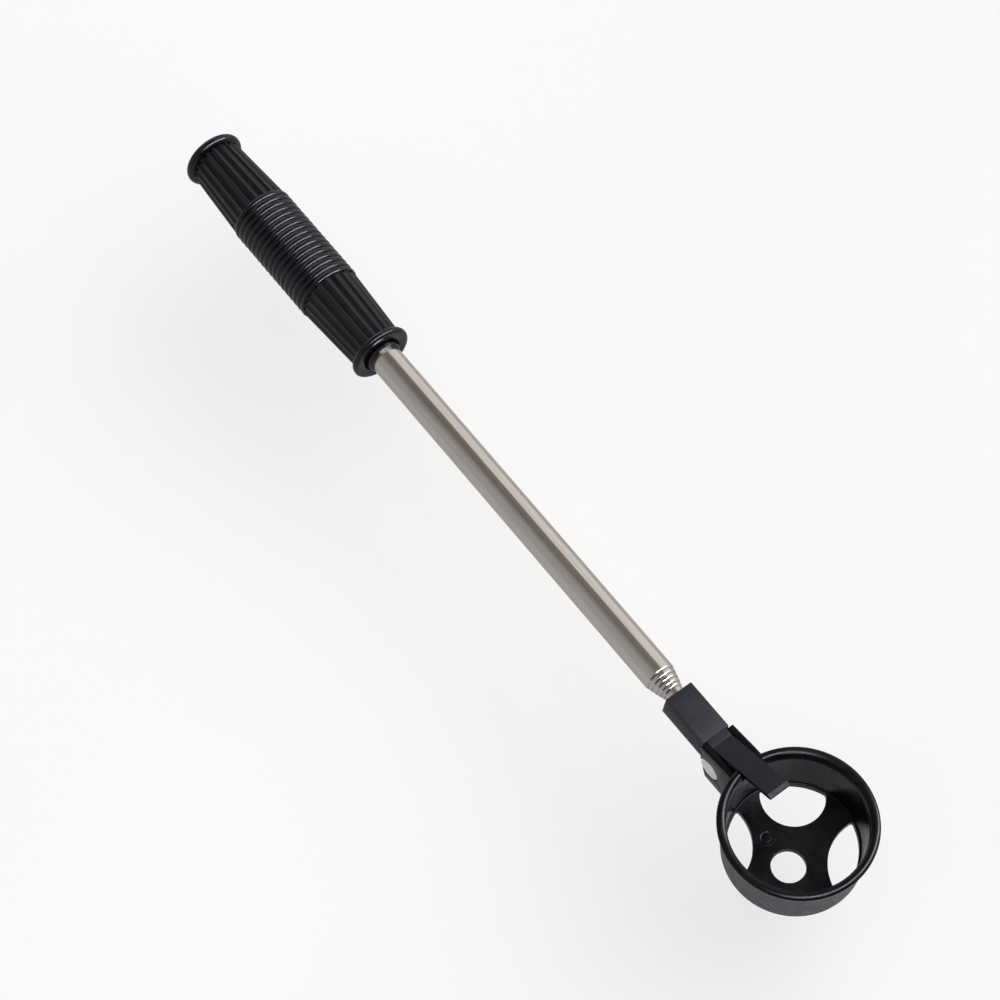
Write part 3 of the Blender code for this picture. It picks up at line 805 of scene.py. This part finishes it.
def make_floor():
    """Plain pale paper, which glows so that the shadows on it stay pale."""
    work = bmesh.new()
    bmesh.ops.create_circle(work, cap_ends=True, segments=96, radius=FLOOR_RADIUS)
    mesh = bpy.data.meshes.new("floor")
    work.to_mesh(mesh)
    work.free()
    mesh.materials.append(floor_material())
    floor = link_object("floor", mesh)
    floor.location = (0, 0, -FLOOR_DROP * MM)


def floor_material():
    surface = Surface("floor_white", roughness=0.9, gloss=0.0)
    surface.colours(surface.noise(3, detail=1), (0.49, 0.49, 0.49), (0.51, 0.51, 0.51))
    glow = surface.tree.nodes.new("ShaderNodeMath")
    glow.operation = "MULTIPLY_ADD"
    surface.link(surface.tree.nodes.new("ShaderNodeLightPath").outputs["Is Glossy Ray"], glow.inputs[0])
    glow.inputs[1].default_value = FLOOR_GLOW_IN_GLOSS - FLOOR_GLOW
    glow.inputs[2].default_value = FLOOR_GLOW
    surface.shader.inputs["Emission Color"].default_value = (1, 1, 1, 1)
    surface.link(glow.outputs["Value"], surface.shader.inputs["Emission Strength"])
    return surface.material


def ramp_through(tree, value, stops):
    """The value's shade on a colour ramp through (position, colour) stops."""
    ramp = tree.nodes.new("ShaderNodeValToRGB")
    elements = ramp.color_ramp.elements
    while len(elements) < len(stops):
        elements.new(0.5)
    for element, (position, colour) in zip(elements, stops):
        element.position = position
        element.color = (*colour, 1)
    tree.links.new(value, ramp.inputs["Fac"])
    return ramp.outputs["Color"]


def half_turns(tree, split):
    """A direction's angle about the shaft in half turns: 0 for +Y, 0.5 for straight up and 1 for -Y."""
    angle = tree.nodes.new("ShaderNodeMath")
    angle.operation = "ARCTAN2"
    tree.links.new(split.outputs["Z"], angle.inputs[0])
    tree.links.new(split.outputs["Y"], angle.inputs[1])
    turns = tree.nodes.new("ShaderNodeMath")
    turns.operation = "DIVIDE"
    turns.inputs[1].default_value = math.pi
    tree.links.new(angle.outputs["Value"], turns.inputs[0])
    return turns.outputs["Value"]


def make_world():
    """A bright tent on the +Y side, dark overhead, grey towards -Y and dark at both ends of the shaft.

    It only lights the scene: where it would be seen past the floor, there is a plain pale backdrop.
    """
    world = bpy.data.worlds.new("studio")
    bpy.context.scene.world = world
    world.use_nodes = True
    tree = world.node_tree
    tent = tree.nodes["Background"]
    split = tree.nodes.new("ShaderNodeSeparateXYZ")
    tree.links.new(tree.nodes.new("ShaderNodeTexCoord").outputs["Generated"], split.inputs["Vector"])
    along = tree.nodes.new("ShaderNodeMapRange")
    along.inputs["From Min"].default_value = -1
    tree.links.new(split.outputs["X"], along.inputs["Value"])
    tree.links.new(ramp_through(tree, half_turns(tree, split), AROUND_SHAFT), tent.inputs["Color"])
    tree.links.new(ramp_through(tree, along.outputs["Result"], ALONG_SHAFT), tent.inputs["Strength"])
    show_backdrop(tree, tent)


def show_backdrop(tree, tent):
    """Lets the camera see a plain backdrop instead of the tent."""
    backdrop = tree.nodes.new("ShaderNodeBackground")
    backdrop.inputs["Color"].default_value = (*BACKDROP, 1)
    choice = tree.nodes.new("ShaderNodeMixShader")
    tree.links.new(tree.nodes.new("ShaderNodeLightPath").outputs["Is Camera Ray"], choice.inputs["Fac"])
    tree.links.new(tent.outputs["Background"], choice.inputs[1])
    tree.links.new(backdrop.outputs["Background"], choice.inputs[2])
    tree.links.new(choice.outputs["Shader"], tree.nodes["World Output"].inputs["Surface"])


def make_strip_light(name, direction, width, length, radiance):
    """A light with its length across the shaft. It faces the origin, and adds highlights alone."""
    light = bpy.data.lights.new(name, "AREA")
    light.shape = "RECTANGLE"
    light.size = width
    light.size_y = length
    light.energy = radiance * math.pi * width * length
    strip = link_object(name, light)
    strip.visible_diffuse = False
    towards = Vector(direction).normalized()
    across = Vector((0, 1, 0)).cross(towards).normalized()
    axes = Matrix((across, towards.cross(across), towards)).transposed()
    strip.matrix_world = Matrix.Translation(towards * STRIP_DISTANCE) @ axes.to_4x4()


def make_fill_light():
    """An even, soft top light that whitens the floor and leaves no reflection of its own."""
    light = bpy.data.lights.new("fill", "SUN")
    light.energy = 2.0
    light.angle = math.radians(90)
    fill = link_object("fill", light)
    fill.rotation_euler = (math.radians(-20), math.radians(15), 0)
    fill.visible_glossy = False


def make_camera():
    azimuth = math.radians(CAMERA_AZIMUTH)
    elevation = math.radians(CAMERA_ELEVATION)
    tilt = Matrix.Rotation(math.pi / 2 - elevation, 4, "X")
    turn = Matrix.Rotation(azimuth, 4, "Z") @ tilt @ Matrix.Rotation(math.radians(CAMERA_ROLL), 4, "Z")
    data = bpy.data.cameras.new("camera")
    data.lens = CAMERA_LENS
    data.clip_start = 0.05
    data.clip_end = 50
    camera = link_object("camera", data)
    back = Matrix.Translation((0, 0, CAMERA_DISTANCE))
    camera.matrix_world = Matrix.Translation(CAMERA_AIM) @ turn @ back
    bpy.context.scene.camera = camera


finishes = {
    "grip": grip_material(),
    "gloss": gloss_black_material(),
    "head": head_material("head_black", (0.012, 0.0132, 0.0172), (0.024, 0.0265, 0.034)),
    # the finger is the head block's own plastic, given darker colours here: painted shade for its tilted
    # top
    "finger": head_material("finger_black_painted_shade", (0.0055, 0.0061, 0.008), (0.01, 0.011, 0.0145)),
    "cup": cup_material(),
    "cup_outside": cup_outside_material(),
    "nylon": nylon_material(),
    "tube": tube_material(),
    "rivet": rivet_material(),
    "spring": spring_material(),
}
make_grip()
make_end_cap()
make_collar()
for index in range(len(TUBE_NAMES)):
    make_tube(index)
make_head_block()
make_tongue()
make_finger()
make_cup_shell()
make_spring_ledge()
make_gate_boss()
make_ear("cup_ear_left", 1)
make_ear("cup_ear_right", -1)
make_hinge_pin()
finish_cad_nodes()
make_floor()
make_world()
make_strip_light("overhead_strip", (0.36, 0.38, 0.85), width=0.45, length=3.6, radiance=21)
make_strip_light("butt_strip", (-0.94, 0.1, 0.33), width=0.5, length=1.5, radiance=3)
make_fill_light()
make_camera()
bpy.context.scene.view_settings.view_transform = "Standard"
